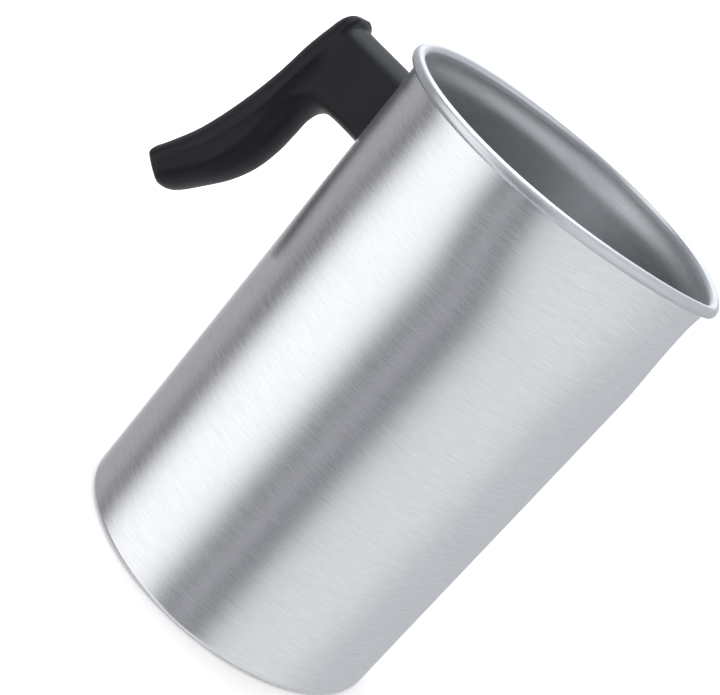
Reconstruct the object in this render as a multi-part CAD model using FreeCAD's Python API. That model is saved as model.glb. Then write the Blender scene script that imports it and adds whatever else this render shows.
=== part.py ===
import FreeCAD, Part
import math
import os

from FreeCAD import Vector

# Pouring pot for melted candle wax: a drawn aluminium shell with a rolled rim and a pressed pour spout,
# and a moulded handle held by one screw on a riveted steel bracket.
# Millimetres. +Z is up, the origin is the centre of the flat underside, the handle points along +X and
# the spout along -X.

# ---- pot body ----------------------------------------------------
pot_height = 180.0
base_radius = 58.3            # outer radius at the underside
top_radius = 60.0             # outer radius of the wall just under the rim
wall = 1.0
base_thickness = 1.2
base_corner = 2.2             # outer radius between underside and wall
inner_corner = 3.0            # inner radius between base and wall
bead_radius = 1.95            # outer radius of the rolled rim
curl_end_angle = -112.0       # where the rolled edge stops, measured round the centre of the roll
rim_flare = 0.5               # how much wider the wall gets in its last millimetres
flare_length = 12.0

# ---- pour spout, pressed into the top of the wall ----------------------------------------------------
spout_depth = 46.0            # how far the pressing reaches below the rim
spout_pinch = 4.5             # how far it draws the two flanks of the spout inward
spout_lobes = 2.5             # flank and shoulder waves between the spout and the handle
spout_tip_rounding = 0.03     # radians over which the tip is rounded off
rim_stations = 30             # half of the places round the rim where the outline is set
station_crowding = 1.5        # they stand closer together near the spout

# ---- handle ----------------------------------------------------
root_bottom = 136.4
root_top = 165.0
root_half_width = 10.0
root_corner = 7.5
root_gap = 0.15               # between the root and the wall
dome_depth = 9.0              # depth of the rounded palm side
finger_depth = 5.5            # depth of the rounded finger side

# ---- bracket, rivets and screw ----------------------------------------------------
axis_height = 151.0           # height of the screw
sheet = 1.2                   # bracket thickness
bracket_width = 12.0
bracket_gap = 0.05            # between the bracket and the wall
web_reach = 74.0              # outer face of the bracket's web, from the axis of the pot
nut_width = 8.0
nut_height = 4.0
nut_play = 0.2
flange_height = 6.2
rivet_radius = 2.0
rivet_head_radius = 3.4
rivet_head_height = 1.1
hole_play = 0.05
screw_radius = 2.5
screw_tip = 63.5              # from the axis of the pot
screw_head_radius = 4.6
screw_head_height = 3.3
washer_radius = 5.0
washer_thickness = 1.0
spring_radius = 4.4
spring_thickness = 1.2
spring_gap_angle = 12.0
seat_reach = 84.0             # where the flat washer rests in the handle, from the axis of the pot
recess_radius = 5.6
socket_play = 0.35
socket_reach = 75.0           # closed end of the socket, from the axis of the pot

far = 200.0                   # longer than anything that is cut
skin_base = 100.0             # a height below the handle, where cuts and skins round the wall start


def cone_radius(z):
    """Outer radius of the plain wall at height z."""
    return base_radius + (top_radius - base_radius) * z / pot_height


def wall_cone(offset, z_low, z_high):
    """Solid cone that stands off the outer face of the wall by offset."""
    return Part.makeCone(cone_radius(z_low) + offset, cone_radius(z_high) + offset, z_high - z_low,
                         Vector(0, 0, z_low), Vector(0, 0, 1))


def ease(t):
    """0 below 0, 1 above 1, and level at both ends."""
    t = min(max(t, 0.0), 1.0)
    return t * t * (3.0 - 2.0 * t)


def outline_radius(angle, z):
    """Outer radius of the wall, angle radians away from the spout."""
    turned = math.hypot(angle, spout_tip_rounding) - spout_tip_rounding
    wave = math.sin(spout_lobes * turned) * (1.0 + math.cos(angle)) / 2.0
    pressed = ease((z - pot_height + spout_depth) / (spout_depth - 2.0 * bead_radius))
    flared = ease((z - pot_height + flare_length) / (flare_length - 2.0 * bead_radius))
    return cone_radius(z) + rim_flare * flared - spout_pinch * pressed * wave


def box(x_range, y_range, z_range):
    """Box between the given limits."""
    corner = Vector(x_range[0], y_range[0], z_range[0])
    return Part.makeBox(x_range[1] - x_range[0], y_range[1] - y_range[0], z_range[1] - z_range[0], corner)


def rod(radius, start, end, height=axis_height):
    """Round bar along X, from start to end."""
    return Part.makeCylinder(radius, end - start, Vector(start, 0, height), Vector(1, 0, 0))


def ring(outer, inner, start, end):
    """Washer shape along X at the screw's height."""
    return rod(outer, start, end).cut(rod(inner, start - 1.0, end + 1.0))


# ---- pot body ----------------------------------------------------
def station_angles():
    """Angles from the spout, once round the pot from the handle side, crowded together near the spout."""
    half = [math.pi * (step / rim_stations) ** station_crowding for step in range(rim_stations + 1)]
    return [-angle for angle in reversed(half)] + half[1:]


def closed_curve(point_at):
    """Closed smooth curve through one point for each station; point_at gives radius and height."""
    angles = station_angles()
    points = []
    for angle in angles[:-1]:
        radius, height = point_at(angle)
        points.append(Vector(-radius * math.cos(angle), -radius * math.sin(angle), height))
    curve = Part.BSplineCurve()
    curve.interpolate(Points=points, PeriodicFlag=True, Parameters=angles)
    return Part.Wire([curve.toShape()])


def wall_curve(z, offset):
    """Outline of the wall at height z, moved outward by offset."""
    return closed_curve(lambda angle: (outline_radius(angle, z) + offset, z))


def roll_curve(radius, degrees):
    """Line along the rolled rim at this distance and direction from the middle of the roll."""
    turn = math.radians(degrees)
    z_roll = pot_height - bead_radius
    centre = bead_radius - wall + radius * math.cos(turn)
    height = z_roll + radius * math.sin(turn)
    return closed_curve(lambda angle: (outline_radius(angle, z_roll) + centre, height))


def steps_between(first, last, count):
    return [first + (last - first) * step / count for step in range(count + 1)]


def corner_curves(radius, centre_z, offset):
    """Round corner of this radius between the base and the wall moved outward by offset."""
    curves = []
    for degrees in steps_between(-90.0, 0.0, 6):
        turn = math.radians(degrees)
        z = centre_z + radius * math.sin(turn)
        reach = cone_radius(centre_z) + offset - radius * (1.0 - math.cos(turn))
        curves.append(closed_curve(lambda angle: (reach, z)))
    return curves


def pot_skin():
    """Faces of the shell: inside and up, round the rolled rim, down the outside, and the base."""
    spout_start = pot_height - spout_depth
    heights = steps_between(spout_start, pot_height - bead_radius, 6)
    turns = steps_between(180.0, curl_end_angle, 12)
    roll_inner = bead_radius - wall
    inside_corner = corner_curves(inner_corner, base_thickness + inner_corner, -wall)
    outside_corner = corner_curves(base_corner, base_corner, 0.0)
    strips = [
        inside_corner,
        [inside_corner[-1], wall_curve(spout_start, -wall)],
        [wall_curve(z, -wall) for z in heights],
        [roll_curve(bead_radius, turn) for turn in turns],
        [roll_curve(bead_radius, curl_end_angle), roll_curve(roll_inner, curl_end_angle)],
        [roll_curve(roll_inner, turn) for turn in reversed(turns)],
        [wall_curve(z, 0.0) for z in reversed(heights)],
        [wall_curve(spout_start, 0.0), outside_corner[-1]],
        outside_corner,
    ]
    faces = [Part.Face(inside_corner[0]), Part.Face(outside_corner[0])]
    for strip in strips:
        faces += Part.makeLoft(strip, False, len(strip) == 2).Faces
    return faces


def pot_body():
    """One drawn shell, with two holes for the rivets."""
    skin = Part.Compound(pot_skin())
    skin.sewShape(0.001)
    shell = Part.Solid(skin.Shells[0])
    for height in rivet_heights():
        shell = shell.cut(rod(rivet_radius + hole_play, top_radius - 10.0, top_radius + 10.0, height))
    return shell


# ---- bracket and its rivets ----------------------------------------------------
def leg_reach():
    """Half of the outside height of the channel that holds the nut."""
    return nut_width / 2.0 + nut_play + sheet


def rivet_heights():
    """The middles of the lower and the upper flange."""
    middle = leg_reach() + flange_height / 2.0
    return [axis_height - middle, axis_height + middle]


def handle_bracket():
    """Hat-shaped strip: two flanges on the wall, two legs and a web with the screw hole."""
    side = (-bracket_width / 2.0, bracket_width / 2.0)
    reach = leg_reach()
    tall = reach + flange_height
    z_range = (axis_height - tall, axis_height + tall)
    skin = wall_cone(bracket_gap + sheet, skin_base, pot_height)
    skin = skin.cut(wall_cone(bracket_gap, skin_base - 1.0, pot_height + 1.0))
    flanges = skin.common(box((40.0, 80.0), side, z_range))
    channel = box((40.0, web_reach), side, (axis_height - reach, axis_height + reach))
    outer_corners = [edge for edge in channel.Edges
                     if abs(edge.BoundBox.XMin - web_reach) < 0.01 and edge.BoundBox.YLength > 10.0]
    channel = channel.makeFillet(2.0, outer_corners)
    hollow = reach - sheet
    inside = (axis_height - hollow, axis_height + hollow)
    across = (-bracket_width, bracket_width)
    channel = channel.cut(box((30.0, web_reach - sheet), across, inside))
    channel = channel.cut(wall_cone(bracket_gap, skin_base, pot_height))
    opened = flanges.cut(box((40.0, web_reach), across, inside))
    bracket = opened.fuse(channel)
    bracket = bracket.cut(rod(screw_radius + 0.3, web_reach - 5.0, web_reach + 5.0))
    for height in rivet_heights():
        bracket = bracket.cut(rod(rivet_radius + hole_play, 50.0, 70.0, height))
    return bracket.removeSplitter()


def bracket_rivet(height):
    """Shank with a low domed head inside the pot and a driven head on the bracket's flange."""
    inside = cone_radius(height) - wall
    outside = cone_radius(height) + bracket_gap + sheet
    dome_radius = (rivet_head_radius ** 2 + rivet_head_height ** 2) / (2.0 * rivet_head_height)

    def head(face, direction):
        centre = Vector(face + direction * (rivet_head_height - dome_radius), 0, height)
        limit = (face, face + 5.0) if direction > 0 else (face - 5.0, face)
        ball = Part.makeSphere(dome_radius, centre)
        return ball.common(rod(rivet_head_radius, limit[0], limit[1], height))

    skirt = rod(rivet_head_radius, inside - 0.4, inside + 2.0, height)
    skirt = skirt.common(wall_cone(-wall, skin_base, pot_height))
    outer_skirt = rod(rivet_head_radius, outside - 1.0, outside, height)
    outer_skirt = outer_skirt.cut(wall_cone(bracket_gap + sheet, skin_base, pot_height))
    shank = rod(rivet_radius, inside - 0.2, outside + 0.2, height)
    return shank.fuse([head(inside - 0.4, -1), skirt, outer_skirt, head(outside, 1)]).removeSplitter()


# ---- handle ----------------------------------------------------
def grip_section(back_x, back_z, tilt, depth, half_width):
    """Closed wire: rounded palm side, two flat sides and a rounded finger side."""
    turn = math.radians(tilt)
    inward = Vector(-math.cos(turn), 0, -math.sin(turn))
    across = Vector(0, 1, 0)
    back = Vector(back_x, 0, back_z)
    scale = min(1.0, depth / (dome_depth + finger_depth + 0.5))
    dome = dome_depth * scale
    finger = finger_depth * scale

    def at(reach, side):
        return back + inward * reach + across * side

    def rounding(start, rise, direction):
        steps = [math.pi * (step / 8.0 - 0.5) for step in range(9)]
        points = [at(start + rise * math.cos(s), direction * half_width * math.sin(s)) for s in steps]
        curve = Part.BSplineCurve()
        along = inward * (1.0 if rise > 0 else -1.0)
        curve.interpolate(Points=points, InitialTangent=along, FinalTangent=along * -1.0)
        return curve.toShape()

    return Part.Wire([
        rounding(dome, -dome, 1.0),
        Part.LineSegment(at(dome, half_width), at(depth - finger, half_width)).toShape(),
        rounding(depth - finger, finger, -1.0),
        Part.LineSegment(at(depth - finger, -half_width), at(dome, -half_width)).toShape(),
    ])


# Sections of the grip from the thumb stop down: palm-side point (x, z), tilt in degrees, depth, half width.
GRIP = [
    (94.3, 167.4, 14.0, 5.0, 5.4),
    (96.0, 166.5, 10.0, 8.6, 8.4),
    (97.4, 164.8, 6.0, 11.4, 10.2),
    (98.9, 161.0, 2.0, 13.8, 11.2),
    (100.6, 151.0, 0.0, 15.2, 11.5),
    (103.0, 136.0, 2.0, 16.0, 11.4),
    (107.4, 119.0, 8.0, 19.6, 11.2),
    (113.6, 102.0, 19.0, 21.6, 11.4),
    (120.6, 89.0, 29.0, 19.4, 11.4),
    (123.4, 84.2, 32.0, 17.2, 10.8),
    (123.9, 81.9, 32.0, 14.4, 9.2),
    (123.0, 80.4, 32.0, 10.4, 6.6),
]

# Sections of the root from the wall outward: x, lowest z, highest z, half width.
ROOT = [
    (56.0, root_bottom, root_top, root_half_width),
    (66.0, root_bottom, root_top, root_half_width),
    (76.0, root_bottom, root_top, root_half_width),
    (82.0, root_bottom - 1.4, root_top, root_half_width),
    (87.0, root_bottom - 6.0, root_top + 0.3, root_half_width + 0.1),
    (91.0, root_bottom - 13.0, root_top + 1.4, root_half_width),
]


def root_section(x, z_low, z_high, half_width):
    """Upright rectangle with rounded corners."""
    r = root_corner
    turn = r * (1.0 - math.sqrt(0.5))
    y = half_width

    def at(side, z):
        return Vector(x, side, z)

    return Part.Wire([
        Part.LineSegment(at(-y, z_low + r), at(-y, z_high - r)).toShape(),
        Part.Arc(at(-y, z_high - r), at(-y + turn, z_high - turn), at(-y + r, z_high)).toShape(),
        Part.LineSegment(at(-y + r, z_high), at(y - r, z_high)).toShape(),
        Part.Arc(at(y - r, z_high), at(y - turn, z_high - turn), at(y, z_high - r)).toShape(),
        Part.LineSegment(at(y, z_high - r), at(y, z_low + r)).toShape(),
        Part.Arc(at(y, z_low + r), at(y - turn, z_low + turn), at(y - r, z_low)).toShape(),
        Part.LineSegment(at(y - r, z_low), at(-y + r, z_low)).toShape(),
        Part.Arc(at(-y + r, z_low), at(-y + turn, z_low + turn), at(-y, z_low + r)).toShape(),
    ])


def handle_body():
    """Moulded handle with a socket over the bracket and a deep recess for the screw."""
    grip = Part.makeLoft([grip_section(*row) for row in GRIP], True)
    root = Part.makeLoft([root_section(*row) for row in ROOT], True)
    body = grip.fuse(root)
    body = body.cut(wall_cone(root_gap, 60.0, pot_height + 1.0))
    half = bracket_width / 2.0 + socket_play
    channel_half = leg_reach() + socket_play
    flange_half = leg_reach() + flange_height + socket_play
    rivet_room = cone_radius(axis_height) + bracket_gap + sheet + rivet_head_height + 0.8
    for reach, tall in ((socket_reach, channel_half), (rivet_room, flange_half)):
        body = body.cut(box((40.0, reach), (-half, half), (axis_height - tall, axis_height + tall)))
    body = body.cut(rod(screw_radius + 0.3, 60.0, far))
    return body.cut(rod(recess_radius, seat_reach, far))


# ---- screw, washers and nut ----------------------------------------------------
def square_nut():
    """Square nut against the inner face of the bracket's web."""
    end = web_reach - sheet
    half = nut_width / 2.0
    nut = box((end - nut_height, end), (-half, half), (axis_height - half, axis_height + half))
    return nut.cut(rod(screw_radius + hole_play, end - nut_height - 1.0, end + 1.0))


def flat_washer():
    return ring(washer_radius, screw_radius + 0.15, seat_reach, seat_reach + washer_thickness)


def spring_washer():
    """Split ring with a square section."""
    start = seat_reach + washer_thickness
    washer = ring(spring_radius, screw_radius + 0.1, start, start + spring_thickness)
    slit = box((start - 1.0, start + spring_thickness + 1.0), (0.0, 10.0), (-0.3, 0.3))
    slit.rotate(Vector(start, 0, 0), Vector(1, 0, 0), spring_gap_angle)
    slit.translate(Vector(0, 0, axis_height))
    return washer.cut(slit)


def round_edges(bar, end):
    """Edges of a bar along X that lie in its end face."""
    return [edge for edge in bar.Edges
            if edge.BoundBox.XLength < 0.01 and abs(edge.BoundBox.XMin - end) < 0.01]


def handle_screw():
    """Pan head screw with a cross recess."""
    head_start = seat_reach + washer_thickness + spring_thickness
    head_end = head_start + screw_head_height
    head = rod(screw_head_radius, head_start, head_end)
    head = head.makeFillet(screw_head_height * 0.55, round_edges(head, head_end))
    shank = rod(screw_radius, screw_tip, head_start + 0.5)
    shank = shank.makeChamfer(0.6, round_edges(shank, screw_tip))
    screw = shank.fuse(head)
    blade_length = 2.3
    blade_half = 0.45
    for length, height in ((blade_length, blade_half), (blade_half, blade_length)):
        screw = screw.cut(box((head_end - 1.8, head_end + 1.0), (-length, length),
                              (axis_height - height, axis_height + height)))
    return screw.removeSplitter()


def export(name, shape):
    solids = shape.Solids
    solid = solids[0] if len(solids) == 1 else Part.makeCompound(solids)
    print(name, "solids", len(solids), "valid", solid.isValid(), "volume", round(solid.Volume, 1))
    solid.exportStep("parts/" + name + ".step")


os.makedirs("parts", exist_ok=True)
rivet_low, rivet_high = rivet_heights()
export("pot_body", pot_body())
export("handle_bracket", handle_bracket())
export("rivet_lower", bracket_rivet(rivet_low))
export("rivet_upper", bracket_rivet(rivet_high))
export("handle_body", handle_body())
export("square_nut", square_nut())
export("flat_washer", flat_washer())
export("spring_washer", spring_washer())
export("handle_screw", handle_screw())
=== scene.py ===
import math

import bpy
import numpy as np
from mathutils import Matrix, Vector


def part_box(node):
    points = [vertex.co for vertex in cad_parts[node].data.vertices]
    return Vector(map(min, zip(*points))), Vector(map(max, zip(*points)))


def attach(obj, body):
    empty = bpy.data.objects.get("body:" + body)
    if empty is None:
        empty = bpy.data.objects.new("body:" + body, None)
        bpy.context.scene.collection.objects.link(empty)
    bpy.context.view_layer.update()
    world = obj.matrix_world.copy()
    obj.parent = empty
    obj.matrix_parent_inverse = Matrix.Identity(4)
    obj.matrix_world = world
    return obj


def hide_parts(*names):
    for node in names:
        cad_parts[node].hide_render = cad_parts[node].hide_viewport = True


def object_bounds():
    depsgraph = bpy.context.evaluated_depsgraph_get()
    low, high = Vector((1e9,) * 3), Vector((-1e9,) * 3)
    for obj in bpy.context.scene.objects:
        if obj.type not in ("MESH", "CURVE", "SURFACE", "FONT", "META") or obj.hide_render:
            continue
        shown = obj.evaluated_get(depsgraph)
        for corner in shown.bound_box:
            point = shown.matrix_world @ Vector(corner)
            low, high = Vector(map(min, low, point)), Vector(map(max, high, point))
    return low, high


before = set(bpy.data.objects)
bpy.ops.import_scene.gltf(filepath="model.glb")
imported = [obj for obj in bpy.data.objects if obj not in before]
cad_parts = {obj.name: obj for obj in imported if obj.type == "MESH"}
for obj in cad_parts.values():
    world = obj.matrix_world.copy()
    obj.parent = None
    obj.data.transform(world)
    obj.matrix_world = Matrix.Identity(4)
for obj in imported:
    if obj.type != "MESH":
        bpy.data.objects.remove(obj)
cad_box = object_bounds()

MM = 0.001

# ---- sizes shared with the CAD part, in metres ---------------------------------------------------
_, POT_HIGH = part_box("pot_body")
HEIGHT = POT_HIGH.z
HANDLE_LOW, HANDLE_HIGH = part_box("handle_body")
SCREW_LOW, SCREW_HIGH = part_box("handle_screw")
SCREW_HEIGHT = (SCREW_LOW.z + SCREW_HIGH.z) / 2.0
BASE_RADIUS = 58.3 * MM
TOP_RADIUS = 60.0 * MM
WALL = 1.0 * MM
BASE_THICKNESS = 1.2 * MM
BASE_CORNER = 2.2 * MM
INNER_CORNER = BASE_CORNER + 0.8 * MM
CENTRE_HOLE = 0.4 * MM          # radius of the innermost ring of the base, closed by a fan
BEAD = 1.95 * MM
CURL_END = math.radians(-112.0)  # direction in which the curled edge of the sheet ends
RIM_FLARE = 0.5 * MM
FLARE_LENGTH = 12.0 * MM
SPOUT_DEPTH = 46.0 * MM
SPOUT_PINCH = 4.5 * MM
SPOUT_LOBES = 2.5
SPOUT_TIP_ROUNDING = 0.03
ROOT_GAP = 0.15 * MM

# Rings and columns of the pot's mesh.
BASE_RINGS = 14
CORNER_RINGS = 9
PLAIN_RINGS = 24
PRESSED_RINGS = 30
CURL_RINGS = 34
HALF_COLUMNS = 150
COLUMN_CROWDING = 1.25          # above 1 the columns stand closer together at the spout

# ---- camera, from a least-squares fit to the pot's outlines ---------------------------------------
CAMERA_AZIMUTH = math.radians(109.81)     # where the camera stands, round the axis from the handle
CAMERA_ELEVATION = math.radians(18.5)
CAMERA_DISTANCE = 0.5948                  # from the middle of the pot's axis
CAMERA_YAW = math.radians(-1.6)
CAMERA_ROLL = math.radians(40.58)
CAMERA_LENS = 90.46                       # millimetres
SENSOR_WIDTH = 36.0


# ---- small helpers -------------------------------------------------------------------------------
def ease(t):
    t = np.clip(t, 0.0, 1.0)
    return t * t * (3.0 - 2.0 * t)


def mesh_object(name, points, faces, material, smooth=True):
    """New object from point coordinates and faces, in the frame's own coordinates."""
    mesh = bpy.data.meshes.new(name)
    mesh.from_pydata([tuple(p) for p in points], [], faces)
    mesh.validate()
    mesh.update()
    mesh.polygons.foreach_set("use_smooth", [smooth] * len(mesh.polygons))
    obj = bpy.data.objects.new(name, mesh)
    bpy.context.scene.collection.objects.link(obj)
    mesh.materials.append(material)
    return obj


def grid_faces(rows, columns):
    """Quads of a grid of points, row after row, closed round the columns."""
    faces = []
    for row in range(rows - 1):
        for column in range(columns):
            here = row * columns + column
            beside = row * columns + (column + 1) % columns
            faces.append((here, beside, beside + columns, here + columns))
    return faces


def smooth_line(points, steps):
    """Smooth line through the points (Catmull-Rom), with this many steps between two of them."""
    points = np.array(points, float)
    ends = np.vstack([2 * points[0] - points[1], points, 2 * points[-1] - points[-2]])
    line = []
    for i in range(1, len(ends) - 2):
        before, start, end, after = ends[i - 1], ends[i], ends[i + 1], ends[i + 2]
        for t in np.linspace(0.0, 1.0, steps, endpoint=False):
            line.append(0.5 * (2 * start + (end - before) * t
                               + (2 * before - 5 * start + 4 * end - after) * t ** 2
                               + (3 * start - before - 3 * end + after) * t ** 3))
    line.append(points[-1])
    return np.array(line)


# ---- node helpers --------------------------------------------------------------------------------
class Nodes:
    """Short names for making and joining shader nodes."""

    def __init__(self, tree):
        self.tree = tree

    def add(self, kind, settings=None, **inputs):
        node = self.tree.nodes.new(kind)
        for name, value in (settings or {}).items():
            setattr(node, name, value)
        for name, value in inputs.items():
            self.put(node, name, value)
        return node

    def put(self, node, name, value):
        socket = node.inputs[int(name[1:])] if name[0] == "_" else node.inputs[name.replace("_", " ")]
        if isinstance(value, bpy.types.NodeSocket):
            self.tree.links.new(value, socket)
        else:
            socket.default_value = value

    def math(self, operation, a, b=0.0, c=0.0):
        return self.add("ShaderNodeMath", {"operation": operation}, _0=a, _1=b, _2=c).outputs[0]

    def vector(self, operation, a, b=(0.0, 0.0, 0.0)):
        return self.add("ShaderNodeVectorMath", {"operation": operation}, _0=a, _1=b).outputs[0]

    def scale(self, a, factor):
        node = self.add("ShaderNodeVectorMath", {"operation": "SCALE"}, _0=a)
        self.put(node, "Scale", factor)
        return node.outputs[0]

    def span(self, value, low, high, to_low, to_high, smooth=False):
        node = self.add("ShaderNodeMapRange", {"interpolation_type": "SMOOTHSTEP" if smooth else "LINEAR"},
                        _0=value, _1=low, _2=high, _3=to_low, _4=to_high)
        return node.outputs[0]

    def noise(self, vector, scale, detail=2.0, roughness=0.5):
        return self.add("ShaderNodeTexNoise", None, Vector=vector, Scale=scale, Detail=detail,
                        Roughness=roughness).outputs[0]

    def ramp(self, value, stops):
        node = self.add("ShaderNodeValToRGB", None, Fac=value)
        ramp = node.color_ramp
        ramp.interpolation = "LINEAR"
        while len(ramp.elements) < len(stops):
            ramp.elements.new(1.0)
        for element, (position, colour) in zip(ramp.elements, stops):
            element.position = position
            element.color = (*colour, 1.0)
        return node.outputs[0]


def new_material(name):
    material = bpy.data.materials.new(name)
    material.use_nodes = True
    material.node_tree.nodes.clear()
    nodes = Nodes(material.node_tree)
    shader = nodes.add("ShaderNodeBsdfPrincipled")
    output = nodes.add("ShaderNodeOutputMaterial")
    nodes.put(output, "Surface", shader.outputs[0])
    return material, nodes, shader


# ---- materials -----------------------------------------------------------------------------------
# Length and width of the streaks that brushing leaves, and the share that each kind has.
FINE_STREAK = (6.0 * MM, 0.24 * MM)
COARSE_STREAK = (18.0 * MM, 0.55 * MM)
FINE_SHARE = 0.8
NOISE_MIDDLE = (0.35, 0.65)     # the part of a streak's noise that is spread over the full range
CLOUD_MIDDLE = (0.3, 0.7)       # the same for cloudiness


def turned_metal(name, tint, roughness, anisotropy, lean, darkest, bump):
    """Metal brushed round the Z axis, with streaks of two sizes that change shade, gloss and slope a little."""
    material, nodes, shader = new_material(name)
    place = nodes.add("ShaderNodeTexCoord").outputs["Object"]
    x, y, z = nodes.add("ShaderNodeSeparateXYZ", None, Vector=place).outputs
    out = nodes.math("SQRT", nodes.math("ADD", nodes.math("MULTIPLY", x, x), nodes.math("MULTIPLY", y, y)))
    along = nodes.math("ADD", z, out)

    def streak(length, width, detail):
        across_x = nodes.math("MULTIPLY", x, 1.0 / length)
        across_y = nodes.math("MULTIPLY", y, 1.0 / length)
        up_wall = nodes.math("MULTIPLY", along, 1.0 / width)
        joined = nodes.add("ShaderNodeCombineXYZ", None, X=across_x, Y=across_y, Z=up_wall)
        return nodes.noise(joined.outputs[0], 1.0, detail, 0.55)

    fine = streak(*FINE_STREAK, 2.0)
    coarse = streak(*COARSE_STREAK, 3.0)
    cloud = nodes.noise(place, 22.0, 3.0, 0.55)
    mixed = nodes.math("ADD", nodes.math("MULTIPLY", fine, FINE_SHARE),
                       nodes.math("MULTIPLY", coarse, 1.0 - FINE_SHARE))

    shade = nodes.math("MULTIPLY", nodes.span(mixed, *NOISE_MIDDLE, darkest, 1.0),
                       nodes.span(cloud, *CLOUD_MIDDLE, 0.985, 1.0))
    colour = nodes.scale(tint, shade)
    nodes.put(shader, "Base Color", colour)
    nodes.put(shader, "Metallic", 1.0)
    uneven = 0.012
    rough = nodes.math("ADD", nodes.span(mixed, *NOISE_MIDDLE, -uneven, uneven),
                       nodes.span(cloud, *CLOUD_MIDDLE, -uneven, uneven))
    nodes.put(shader, "Roughness", nodes.math("ADD", rough, roughness))
    nodes.put(shader, "Anisotropic", anisotropy)

    tangent = nodes.add("ShaderNodeTangent", {"direction_type": "RADIAL", "axis": "Z"}).outputs[0]
    nodes.put(shader, "Tangent", tangent)
    normal = nodes.add("ShaderNodeNewGeometry").outputs["Normal"]
    leaning = nodes.math("MULTIPLY", nodes.math("SUBTRACT", mixed, 0.5), lean)
    tilted = nodes.vector("NORMALIZE", nodes.vector("ADD", normal, nodes.scale(tangent, leaning)))
    lines = nodes.add("ShaderNodeBump", None, Strength=1.0, Distance=bump, Height=fine, Normal=tilted)
    nodes.put(shader, "Normal", lines.outputs[0])
    return material


def moulded_plastic():
    """Black phenolic moulding: satin, with a fine grain and faint cloudiness."""
    material, nodes, shader = new_material("black_phenolic")
    place = nodes.add("ShaderNodeTexCoord").outputs["Object"]
    grain = nodes.noise(place, 3200.0, 2.0, 0.6)
    fleck = nodes.noise(place, 900.0, 2.0, 0.5)
    cloud = nodes.noise(place, 60.0, 4.0, 0.6)
    low, high = CLOUD_MIDDLE
    colour = nodes.ramp(cloud, [(low, (0.0042, 0.0045, 0.0062)), (high, (0.0078, 0.0083, 0.0110))])
    nodes.put(shader, "Base Color", colour)
    rough = nodes.math("ADD", nodes.span(cloud, low, high, 0.40, 0.48),
                       nodes.span(fleck, low, high, -0.03, 0.03))
    nodes.put(shader, "Roughness", rough)
    nodes.put(shader, "Specular IOR Level", 0.22)
    height = nodes.math("ADD", nodes.math("MULTIPLY", grain, 0.6), nodes.math("MULTIPLY", fleck, 0.4))
    bump = nodes.add("ShaderNodeBump", None, Strength=1.0, Distance=0.045 * MM, Height=height)
    nodes.put(shader, "Normal", bump.outputs[0])
    return material


def plated_steel(name, tint, roughness):
    """Zinc plated pressing or fastener: cloudy, slightly uneven, with a fine grit."""
    material, nodes, shader = new_material(name)
    place = nodes.add("ShaderNodeTexCoord").outputs["Object"]
    cloud = nodes.noise(place, 260.0, 4.0, 0.6)
    grit = nodes.noise(place, 4000.0, 2.0, 0.6)
    low, high = CLOUD_MIDDLE
    darker = tuple(0.78 * part for part in tint)
    nodes.put(shader, "Base Color", nodes.ramp(cloud, [(low, darker), (high, tint)]))
    nodes.put(shader, "Metallic", 1.0)
    uneven = 0.08
    nodes.put(shader, "Roughness", nodes.span(cloud, low, high, roughness - uneven, roughness + uneven))
    bump = nodes.add("ShaderNodeBump", None, Strength=1.0, Distance=0.02 * MM, Height=grit)
    nodes.put(shader, "Normal", bump.outputs[0])
    return material


def floor_paint():
    """Pale matt studio floor."""
    material, nodes, shader = new_material("studio_floor")
    place = nodes.add("ShaderNodeTexCoord").outputs["Object"]
    cloud = nodes.noise(place, 3.0, 3.0, 0.5)
    low, high = CLOUD_MIDDLE
    nodes.put(shader, "Base Color", nodes.ramp(cloud, [(low, (0.93, 0.93, 0.93)), (high, (0.95, 0.95, 0.95))]))
    nodes.put(shader, "Roughness", 0.9)
    nodes.put(shader, "Specular IOR Level", 0.0)
    return material


# ---- pot body ------------------------------------------------------------------------------------
def cone_radius(z):
    return BASE_RADIUS + (TOP_RADIUS - BASE_RADIUS) * z / HEIGHT


def outline_radius(angle, z):
    """Outer radius of the wall, angle radians away from the spout, with the spout pressed into its top."""
    turned = np.hypot(angle, SPOUT_TIP_ROUNDING) - SPOUT_TIP_ROUNDING
    wave = np.sin(SPOUT_LOBES * turned) * (1.0 + np.cos(angle)) / 2.0
    pressed = ease((z - HEIGHT + SPOUT_DEPTH) / (SPOUT_DEPTH - 2.0 * BEAD))
    flared = ease((z - HEIGHT + FLARE_LENGTH) / (FLARE_LENGTH - 2.0 * BEAD))
    return cone_radius(z) + RIM_FLARE * flared - SPOUT_PINCH * pressed * wave


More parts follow.
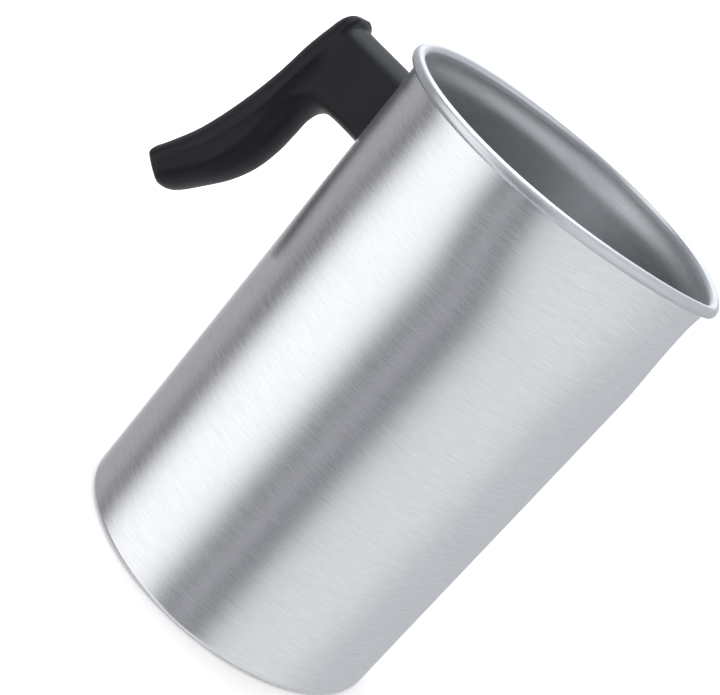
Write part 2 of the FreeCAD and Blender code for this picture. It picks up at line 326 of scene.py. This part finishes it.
def pot_profile(angle):
    """Radii and heights of the sheet for an array of angles, row after row, and the rows where the rim and
    the inside start."""
    flat = np.zeros_like(angle)
    roll_z = HEIGHT - BEAD
    spout_z = HEIGHT - SPOUT_DEPTH
    rows = []
    parts = []

    def disc(z, edge, inward):
        radii = np.linspace(CENTRE_HOLE, edge, BASE_RINGS, endpoint=False)
        for radius in reversed(radii) if inward else radii:
            rows.append((flat + radius, flat + z))

    def corner(radius, centre_z, offset, turns):
        for turn in turns:
            reach = cone_radius(centre_z) + offset - radius * (1.0 - math.cos(turn))
            rows.append((flat + reach, flat + centre_z + radius * math.sin(turn)))

    def wall(offset, heights):
        for z in heights:
            rows.append((outline_radius(angle, z) + offset, flat + z))

    def roll(radius, turns):
        centre = outline_radius(angle, roll_z) - WALL + BEAD
        for turn in turns:
            rows.append((centre + radius * math.cos(turn), flat + roll_z + radius * math.sin(turn)))

    quarter = np.linspace(-math.pi / 2.0, 0.0, CORNER_RINGS)
    plain = np.linspace(INNER_CORNER + BASE_THICKNESS, spout_z, PLAIN_RINGS)[1:-1]
    pressed = np.linspace(spout_z, roll_z, PRESSED_RINGS)
    curl = np.linspace(math.pi, CURL_END, CURL_RINGS)
    disc(0.0, cone_radius(BASE_CORNER) - BASE_CORNER, False)
    corner(BASE_CORNER, BASE_CORNER, 0.0, quarter)
    wall(0.0, plain)
    wall(0.0, pressed)
    parts.append(len(rows))
    roll(BEAD - WALL, curl[1:])
    roll(BEAD, curl[::-1])
    parts.append(len(rows))
    wall(-WALL, pressed[::-1][1:])
    wall(-WALL, plain[::-1])
    corner(INNER_CORNER, BASE_THICKNESS + INNER_CORNER, -WALL, quarter[::-1])
    disc(BASE_THICKNESS, cone_radius(BASE_THICKNESS + INNER_CORNER) - WALL - INNER_CORNER, True)
    return rows, parts


def build_pot(materials):
    """The shell as one closed surface: underside, wall, rolled rim, inside wall and inside base."""
    half = math.pi * (np.arange(HALF_COLUMNS + 1) / HALF_COLUMNS) ** COLUMN_CROWDING
    angles = np.concatenate([-half[::-1], half[1:-1]])
    rows, parts = pot_profile(angles)
    points = []
    for radius, height in rows:
        points.append(np.stack([-radius * np.cos(angles), -radius * np.sin(angles), height], -1))
    columns = len(angles)
    points = np.concatenate(points)
    faces = grid_faces(len(rows), columns)
    under_centre = len(points)
    inside_centre = under_centre + 1
    points = np.vstack([points, [0.0, 0.0, 0.0], [0.0, 0.0, BASE_THICKNESS]])
    last_row = (len(rows) - 1) * columns
    for column in range(columns):
        after = (column + 1) % columns
        faces.append((under_centre, after, column))
        faces.append((inside_centre, last_row + column, last_row + after))
    pot = mesh_object("pot_shell", points, faces, materials[0])
    for material in materials[1:]:
        pot.data.materials.append(material)
    rim_start, inside_start = (part * columns for part in parts)
    for polygon in pot.data.polygons:
        first = min(polygon.vertices)
        polygon.material_index = int(first >= rim_start) + int(first >= inside_start)
    return pot


# ---- handle --------------------------------------------------------------------------------------
# Side view of the handle in millimetres (distance from the pot's axis, height): along the top of the root to
# the thumb stop, down the palm side and round the end, and back up the finger side to the wall.
ROOT_TOP_LINE = [
    (50.0, 165.0), (66.0, 165.0), (79.0, 165.0), (87.6, 165.05), (89.3, 165.6), (90.5, 166.4), (91.6, 166.9),
]
PALM_LINE = [
    (93.2, 167.0), (94.9, 166.3), (96.4, 164.6), (97.5, 162.3), (98.5, 159.3), (100.6, 151.0), (103.0, 136.0),
    (107.4, 119.0), (113.6, 102.0), (120.2, 89.6), (123.2, 84.8), (123.7, 82.0), (121.8, 79.4), (114.6, 75.2),
]
FINGER_LINE = [
    (111.4, 74.9), (108.2, 77.0), (101.8, 84.6), (95.4, 93.0), (90.8, 102.0), (88.2, 112.0), (87.2, 121.0),
    (86.6, 127.2), (84.4, 132.3), (80.2, 135.6), (74.0, 136.4), (63.0, 136.4), (50.0, 136.4),
]
# The edge where the rounded palm side meets the flat sides, from the thumb stop down.
CREASE_LINE = [
    (92.8, 169.6), (92.0, 167.2), (91.3, 166.0), (90.9, 164.6), (90.6, 162.6), (90.3, 160.0), (90.3, 157.5),
    (90.9, 153.5), (92.4, 145.3), (94.4, 133.6), (96.6, 121.5), (102.2, 105.2), (109.4, 91.5), (116.5, 79.5),
    (121.0, 72.0),
]
LINE_STEPS = 4                  # steps of the smooth line between two points of an outline

SIDE_HALF_WIDTH = 10.2          # of the root
GRIP_HALF_WIDTH = 11.1
GRIP_HEIGHTS = (104.0, 134.0)   # between which the root's width changes to the grip's
FINGER_ROUNDING = 6.8
PALM_ROUNDING = 9.0
END_HEIGHTS = (86.0, 102.0)     # between which the palm side takes the finger side's rounding, going down
CREASE_HALF_WIDTH = 11.4
CREASE_SWEEP = 5.0              # over which the side curves out to the crease
CREASE_BLEND = 0.7
STOP_HALF_WIDTH = 9.4           # of the palm side at the thumb stop
STOP_TAPER = (142.0, 162.0)     # heights between which the palm side narrows to it
STOP_ROUNDING = 7.0             # of the palm side at the thumb stop
STOP_HEIGHTS = (156.0, 164.0)   # between which the palm side changes to that rounding
WALL_BLEND = 0.4                # rounding of the root's edge at the wall
RECESS_RADIUS = 5.6
RECESS_BLEND = 0.6
SOCKET_PLAY = 0.35
CHANNEL_HALF = 5.75             # half height of the socket for the bracket's channel
CHANNEL_PLAY = 1.0              # free depth beyond the bracket's channel
FLANGE_REACH = 64.0             # how far out the socket for the bracket's flanges goes

NET = 0.5                       # spacing of the surface net
NET_MARGIN = 1.5                # how far the net reaches past the handle in side view
NET_HALF_WIDTH = 13.0
SETTLING_ROUNDS = 2             # how often the net's points are moved towards the exact surface
SLOPE_STEP = 0.02
LEAST_SLOPE = 0.2

FLASH_RADIUS = 0.22             # of the mould's witness line
FLASH_PROUD = 0.08              # how far it stands out of the side
FLASH_SIDES = 8
FLASH_DEPTH = 3.0               # it stays this far inside the outline
FLASH_TOP = 157.0               # and below this height
FLASH_TAPER = 4.0               # points over which its ends thin out
FLASH_TIP = 0.01                # radius left at the very end


def nearest(px, pz, line):
    """Distance from a line, and 1 where the point lies to the left of its direction, -1 to the right."""
    best = np.full(px.shape, np.inf)
    side = np.zeros(px.shape)
    for (ax, az), (bx, bz) in zip(line[:-1], line[1:]):
        dx, dz = bx - ax, bz - az
        t = np.clip(((px - ax) * dx + (pz - az) * dz) / (dx * dx + dz * dz), 0.0, 1.0)
        gap = (px - ax - t * dx) ** 2 + (pz - az - t * dz) ** 2
        nearer = gap < best
        best = np.where(nearer, gap, best)
        side = np.where(nearer, np.sign((pz - az) * dx - (px - ax) * dz), side)
    return np.sqrt(best), side


def is_inside(px, pz, outline):
    """True where a point lies inside the closed outline."""
    inside = np.zeros(px.shape, bool)
    for (ax, az), (bx, bz) in zip(outline, np.roll(outline, -1, 0)):
        if az != bz:
            inside ^= ((az > pz) != (bz > pz)) & (px < ax + (pz - az) / (bz - az) * (bx - ax))
    return inside


def soft_max(a, b, blend):
    """Larger of two values, with the corner between them rounded off."""
    share = np.clip(0.5 + 0.5 * (a - b) / blend, 0.0, 1.0)
    return b + (a - b) * share + blend * share * (1.0 - share)


class HandleShape:
    """Function that is negative inside the handle, for points in millimetres."""

    def __init__(self):
        self.outline = smooth_line(ROOT_TOP_LINE + PALM_LINE + FINGER_LINE, LINE_STEPS)
        first = len(ROOT_TOP_LINE) * LINE_STEPS
        self.palm = self.outline[first:first + (len(PALM_LINE) - 1) * LINE_STEPS + 1]
        self.crease = smooth_line(CREASE_LINE, LINE_STEPS)
        self.screw_z = SCREW_HEIGHT / MM
        self.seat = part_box("flat_washer")[0].x / MM
        low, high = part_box("handle_bracket")
        self.sockets = (
            (high.x / MM + CHANNEL_PLAY, self.screw_z - CHANNEL_HALF, self.screw_z + CHANNEL_HALF),
            (FLANGE_REACH, low.z / MM - SOCKET_PLAY, high.z / MM + SOCKET_PLAY),
        )
        self.socket_half_width = high.y / MM + SOCKET_PLAY

    def crease_half(self, pz):
        """Half width of the palm side at a height."""
        low, high = STOP_TAPER
        return CREASE_HALF_WIDTH + (STOP_HALF_WIDTH - CREASE_HALF_WIDTH) * ease((pz - low) / (high - low))

    def plan(self, px, pz):
        """What the section across the handle depends on, at a place in its side view."""
        gap, _ = nearest(px, pz, self.outline)
        depth = np.where(is_inside(px, pz, self.outline), gap, -gap)
        palm, _ = nearest(px, pz, self.palm)
        gap, side = nearest(px, pz, self.crease)
        side = gap * side
        sweep = np.clip((side + CREASE_SWEEP) / CREASE_SWEEP, 0.0, 1.0) ** 2
        low, high = GRIP_HEIGHTS
        plain = SIDE_HALF_WIDTH + (GRIP_HALF_WIDTH - SIDE_HALF_WIDTH) * ease((high - pz) / (high - low))
        half = plain + (self.crease_half(pz) - plain) * sweep
        low, high = STOP_HEIGHTS
        rounding = PALM_ROUNDING + (STOP_ROUNDING - PALM_ROUNDING) * ease((pz - low) / (high - low))
        low, high = END_HEIGHTS
        rounding = rounding + (FINGER_ROUNDING - rounding) * ease((high - pz) / (high - low))
        return depth, palm, half, rounding, ease(side / CREASE_BLEND + 0.5)

    def value(self, x, y, z, plan=None):
        """Roughly the distance outside the handle; the plan may be given where many points share one."""
        depth, palm, half, rounding, share = plan if plan is not None else self.plan(x, z)
        edge = np.maximum(FINGER_ROUNDING - depth, 0.0) / FINGER_ROUNDING
        front = (np.hypot(edge, y / half) - 1.0) * FINGER_ROUNDING
        edge = np.maximum(rounding - palm, 0.0) / rounding
        back = (np.hypot(edge, y / self.crease_half(z)) - 1.0) * rounding
        solid = np.maximum(front * (1.0 - share) + back * share, -depth)
        wall = cone_radius(z * MM) / MM + ROOT_GAP / MM - np.hypot(x, y)
        solid = soft_max(solid, wall, WALL_BLEND)
        recess = np.minimum(RECESS_RADIUS - np.hypot(y, z - self.screw_z), x - self.seat)
        solid = soft_max(solid, recess, RECESS_BLEND)
        for reach, low, high in self.sockets:
            room = np.minimum(np.minimum(reach - x, self.socket_half_width - np.abs(y)),
                              np.minimum(z - low, high - z))
            solid = np.maximum(solid, room)
        return solid


def surface_net(shape, low, high, spacing):
    """Points and quads of the surface where shape.value is zero, on an even net, moved onto the surface."""
    axes = [np.arange(a, b + spacing, spacing) for a, b in zip(low, high)]
    x, y, z = np.meshgrid(*axes, indexing="ij")
    values = shape.value(x, y, z, shape.plan(x[:, :1, :], z[:, :1, :]))
    counts = np.array(values.shape) - 1
    corners = [(i, j, k) for i in (0, 1) for j in (0, 1) for k in (0, 1)]

    def shifted(i, j, k):
        return values[i:counts[0] + i, j:counts[1] + j, k:counts[2] + k]

    total = np.zeros(tuple(counts) + (3,))
    hits = np.zeros(tuple(counts))
    for a in corners:
        for axis in range(3):
            if a[axis]:
                continue
            b = tuple(a[n] + (1 if n == axis else 0) for n in range(3))
            va, vb = shifted(*a), shifted(*b)
            crossing = (va < 0.0) != (vb < 0.0)
            share = np.where(crossing, va / np.where(crossing, va - vb, 1.0), 0.0)
            for n in range(3):
                total[..., n] += crossing * (a[n] + (share if n == axis else 0.0))
            hits += crossing
    used = hits > 0
    number = np.full(used.shape, -1)
    number[used] = np.arange(used.sum())
    points = np.array(low) + (np.argwhere(used) + total[used] / hits[used][:, None]) * spacing

    faces = []
    for axis in range(3):
        first, second = [n for n in range(3) if n != axis]
        ahead, behind = [slice(None)] * 3, [slice(None)] * 3
        ahead[axis], behind[axis] = slice(1, None), slice(None, -1)
        va, vb = values[tuple(behind)], values[tuple(ahead)]
        where = np.argwhere((va < 0.0) != (vb < 0.0))
        outward = va[tuple(where.T)] < 0.0
        ring = []
        for back_first, back_second in ((1, 1), (0, 1), (0, 0), (1, 0)):
            cell = where.copy()
            cell[:, first] -= back_first
            cell[:, second] -= back_second
            ring.append(number[tuple(cell.T)])
        ring = np.stack(ring, 1)
        turned = ~outward if axis != 1 else outward
        ring[turned] = ring[turned][:, ::-1]
        faces.append(ring)

    step = SLOPE_STEP
    for _ in range(SETTLING_ROUNDS):
        px, py, pz = points.T
        here = shape.value(px, py, pz)
        slope = np.stack([shape.value(px + step, py, pz) - here, shape.value(px, py + step, pz) - here,
                          shape.value(px, py, pz + step) - here], 1) / step
        move = -slope * (here / np.maximum((slope ** 2).sum(1), LEAST_SLOPE))[:, None]
        longest = np.linalg.norm(move, axis=1)
        points = points + move * np.minimum(1.0, 0.5 * spacing / np.maximum(longest, 1e-9))[:, None]
    return points, np.concatenate(faces)


def build_handle(material):
    """Moulded handle with a flat-sided root, a rounded palm side, a thumb stop and the screw recess."""
    shape = HandleShape()
    low = (HANDLE_LOW.x / MM - NET_MARGIN, -NET_HALF_WIDTH, HANDLE_LOW.z / MM - NET_MARGIN)
    high = (HANDLE_HIGH.x / MM + NET_MARGIN, NET_HALF_WIDTH, HANDLE_HIGH.z / MM + NET_MARGIN)
    points, faces = surface_net(shape, low, high, NET)
    handle = mesh_object("handle_moulding", points * MM, [tuple(f) for f in faces.tolist()], material)
    return handle, shape


def build_flash_line(shape, material):
    """Fine witness line of the mould along the crease, on both sides of the handle."""
    line = shape.crease
    depth, palm, _, rounding, _ = shape.plan(line[:, 0], line[:, 1])
    kept = (depth > FLASH_DEPTH) & (line[:, 1] < FLASH_TOP)
    line, palm, rounding = line[kept], palm[kept], rounding[kept]
    edge = np.maximum(rounding - palm, 0.0) / rounding
    reach = shape.crease_half(line[:, 1]) * np.sqrt(1.0 - edge ** 2)
    points, faces = [], []
    for direction in (1.0, -1.0):
        base = len(points)
        for i, ((px, pz), y) in enumerate(zip(line, reach)):
            after, before = line[min(i + 1, len(line) - 1)], line[max(i - 1, 0)]
            run = (after - before) / np.linalg.norm(after - before)
            from_end = min(i, len(line) - 1 - i)
            thin = FLASH_RADIUS * min(1.0, from_end / FLASH_TAPER) + FLASH_TIP
            for side in range(FLASH_SIDES):
                turn = 2.0 * math.pi * side / FLASH_SIDES * direction
                out, across = thin * math.cos(turn), thin * math.sin(turn)
                place = y + out - FLASH_RADIUS + FLASH_PROUD
                points.append(((px - run[1] * across) * MM, direction * place * MM,
                               (pz + run[0] * across) * MM))
        rows = len(line)
        faces += [tuple(base + n for n in face) for face in grid_faces(rows, FLASH_SIDES)]
        faces.append(tuple(base + n for n in reversed(range(FLASH_SIDES))))
        faces.append(tuple(base + (rows - 1) * FLASH_SIDES + n for n in range(FLASH_SIDES)))
    return mesh_object("handle_flash_line", points, faces, material)


# ---- studio --------------------------------------------------------------------------------------
# What mirrored rays see: soft boxes and dark screens that stand still round the object. Each has the degrees
# from the photograph's viewpoint to its middle (counterclockwise from above), its half width, the width of its
# soft edges, and its brightness and tint. A later one covers an earlier one.
ROOM = (0.635, (0.93, 0.955, 1.0))
SCREENS = [
    (53.0, 34.0, 36.0, 0.83, (0.955, 0.97, 1.0)),
    (187.0, 18.5, 16.0, 1.03, (0.985, 0.99, 1.0)),
    (228.0, 23.0, 12.0, 0.46, (0.94, 0.94, 1.0)),
    (257.0, 8.5, 9.0, 0.09, (0.90, 0.88, 1.0)),
    (300.5, 28.0, 24.0, 1.20, (0.97, 0.98, 1.0)),
    (355.0, 19.5, 15.0, 0.14, (0.80, 0.87, 1.0)),
    (354.5, 4.5, 5.0, 0.62, (0.95, 0.94, 1.0)),
]
OVERHEAD = (0.66, (0.92, 0.95, 1.0))
OVERHEAD_START, OVERHEAD_FULL = 0.38, 0.85  # how far up a direction points where the ceiling takes over
EVEN_LIGHT = 1.35                           # brightness of the surroundings for all other light

LAMP_TOWARD = (0.32, -0.26, 0.91)
LAMP_DISTANCE = 1.1
LAMP_SIZE = 1.0
LAMP_POWER = 7.0
LAMP_COLOUR = (0.80, 0.88, 1.0)

FLOOR_HALF_SIZE = 6.0
FLOOR_GAP = 0.2 * MM


def shaded(level, tint):
    return tuple(level * part for part in tint) + (1.0,)


def build_world():
    """A ring of soft boxes and screens for mirrored rays, and even white light for all others."""
    world = bpy.data.worlds.new("studio")
    bpy.context.scene.world = world
    world.use_nodes = True
    world.node_tree.nodes.clear()
    nodes = Nodes(world.node_tree)
    direction = nodes.add("ShaderNodeTexCoord").outputs["Generated"]
    x, y, z = nodes.add("ShaderNodeSeparateXYZ", None, Vector=direction).outputs
    around = nodes.math("SUBTRACT", nodes.math("ARCTAN2", y, x), CAMERA_AZIMUTH)

    def mixed(share, below, above):
        return nodes.add("ShaderNodeMix", {"data_type": "RGBA"}, _0=share, _6=below, _7=above).outputs[2]

    room = shaded(*ROOM)
    for middle, half_width, edge, level, tint in SCREENS:
        turned = nodes.math("WRAP", nodes.math("SUBTRACT", around, math.radians(middle)), math.pi, -math.pi)
        away = nodes.math("ABSOLUTE", turned)
        full, gone = math.radians(half_width - edge / 2.0), math.radians(half_width + edge / 2.0)
        share = nodes.span(away, full, gone, 1.0, 0.0, smooth=True)
        room = mixed(share, room, shaded(level, tint))
    upward = nodes.span(z, OVERHEAD_START, OVERHEAD_FULL, 0.0, 1.0, smooth=True)
    room = mixed(upward, room, shaded(*OVERHEAD))
    panels = nodes.add("ShaderNodeBackground", None, Color=room, Strength=1.0)
    even = nodes.add("ShaderNodeBackground", None, Color=(1.0, 1.0, 1.0, 1.0), Strength=EVEN_LIGHT)
    mirrored = nodes.add("ShaderNodeLightPath").outputs["Is Glossy Ray"]
    surface = nodes.add("ShaderNodeMixShader", None, _0=mirrored, _1=even.outputs[0], _2=panels.outputs[0])
    nodes.put(nodes.add("ShaderNodeOutputWorld"), "Surface", surface.outputs[0])


def build_overhead_light():
    """Soft box above the handle side, which draws the soft line along every upward edge."""
    toward = Vector(LAMP_TOWARD).normalized()
    data = bpy.data.lights.new("overhead_soft_box", "AREA")
    data.shape = "DISK"
    data.size = LAMP_SIZE
    data.energy = LAMP_POWER
    data.color = LAMP_COLOUR
    lamp = bpy.data.objects.new("overhead_soft_box", data)
    lamp.location = toward * LAMP_DISTANCE + Vector((0.0, 0.0, HEIGHT / 2.0))
    lamp.rotation_euler = toward.to_track_quat("Z", "Y").to_euler()
    lamp.visible_camera = False
    bpy.context.scene.collection.objects.link(lamp)


def build_floor():
    """Plain pale floor under the pot, which the metal does not mirror."""
    size = FLOOR_HALF_SIZE
    corners = [(-size, -size, 0.0), (size, -size, 0.0), (size, size, 0.0), (-size, size, 0.0)]
    floor = mesh_object("studio_floor", corners, [(0, 1, 2, 3)], floor_paint(), smooth=False)
    floor.location.z = cad_box[0][2] - FLOOR_GAP
    floor.visible_glossy = False


def build_camera():
    """Camera turned about its own axis, so that the upright pot lies across the picture."""
    to_camera = Vector((math.cos(CAMERA_AZIMUTH), math.sin(CAMERA_AZIMUTH), 0.0))
    place = to_camera * CAMERA_DISTANCE * math.cos(CAMERA_ELEVATION)
    place.z = HEIGHT / 2.0 + CAMERA_DISTANCE * math.sin(CAMERA_ELEVATION)
    heading = -(Matrix.Rotation(-CAMERA_YAW, 3, "Z") @ to_camera)
    forward = heading * math.cos(CAMERA_ELEVATION) - Vector((0.0, 0.0, math.sin(CAMERA_ELEVATION)))
    right = forward.cross(Vector((0.0, 0.0, 1.0))).normalized()
    up = right.cross(forward)
    rolled_right = right * math.cos(CAMERA_ROLL) + up * math.sin(CAMERA_ROLL)
    rolled_up = up * math.cos(CAMERA_ROLL) - right * math.sin(CAMERA_ROLL)
    data = bpy.data.cameras.new("camera")
    data.sensor_width = SENSOR_WIDTH
    data.lens = CAMERA_LENS
    data.clip_start = 0.01
    data.clip_end = 50.0
    camera = bpy.data.objects.new("camera", data)
    axes = Matrix((rolled_right, rolled_up, -forward)).transposed()
    camera.matrix_world = Matrix.Translation(place) @ axes.to_4x4()
    bpy.context.scene.collection.objects.link(camera)
    bpy.context.scene.camera = camera


# ---- assembly ------------------------------------------------------------------------------------
outer_aluminium = turned_metal("brushed_aluminium", (0.92, 0.925, 0.935), roughness=0.20, anisotropy=0.90,
                               lean=0.010, darkest=0.87, bump=0.0006 * MM)
inner_aluminium = turned_metal("inside_aluminium", (0.89, 0.90, 0.91), roughness=0.32, anisotropy=0.88,
                               lean=0.010, darkest=0.88, bump=0.001 * MM)
# The rolled rim is the same sheet as the wall, but its tint is darker: painted shade that tones down its bright
# reflections.
rim_aluminium_painted_shade = turned_metal("rim_aluminium_painted_shade", (0.76, 0.775, 0.80), roughness=0.33, anisotropy=0.40,
                             lean=0.030, darkest=0.93, bump=0.002 * MM)
rivet_metal = turned_metal("rivet_aluminium", (0.84, 0.845, 0.85), roughness=0.34, anisotropy=0.30,
                           lean=0.050, darkest=0.90, bump=0.004 * MM)
phenolic = moulded_plastic()
zinc = plated_steel("zinc_plate", (0.62, 0.62, 0.60), 0.34)
bracket_metal = plated_steel("bracket_steel", (0.52, 0.53, 0.54), 0.42)

pot = build_pot((outer_aluminium, rim_aluminium_painted_shade, inner_aluminium))
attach(pot, "root")
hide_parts("pot_body")

handle, handle_shape = build_handle(phenolic)
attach(handle, "root")
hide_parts("handle_body")

flash_line = build_flash_line(handle_shape, phenolic)
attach(flash_line, "root")

for node, material in (
    ("rivet_lower", rivet_metal),
    ("rivet_upper", rivet_metal),
    ("handle_bracket", bracket_metal),
    ("square_nut", zinc),
    ("flat_washer", zinc),
    ("spring_washer", zinc),
    ("handle_screw", zinc),
):
    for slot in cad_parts[node].material_slots:
        slot.material = material

build_world()
build_overhead_light()
build_floor()
build_camera()
bpy.context.scene.view_settings.view_transform = "Standard"
bpy.context.scene.view_settings.look = "None"
bpy.context.scene.cycles.use_denoising = True
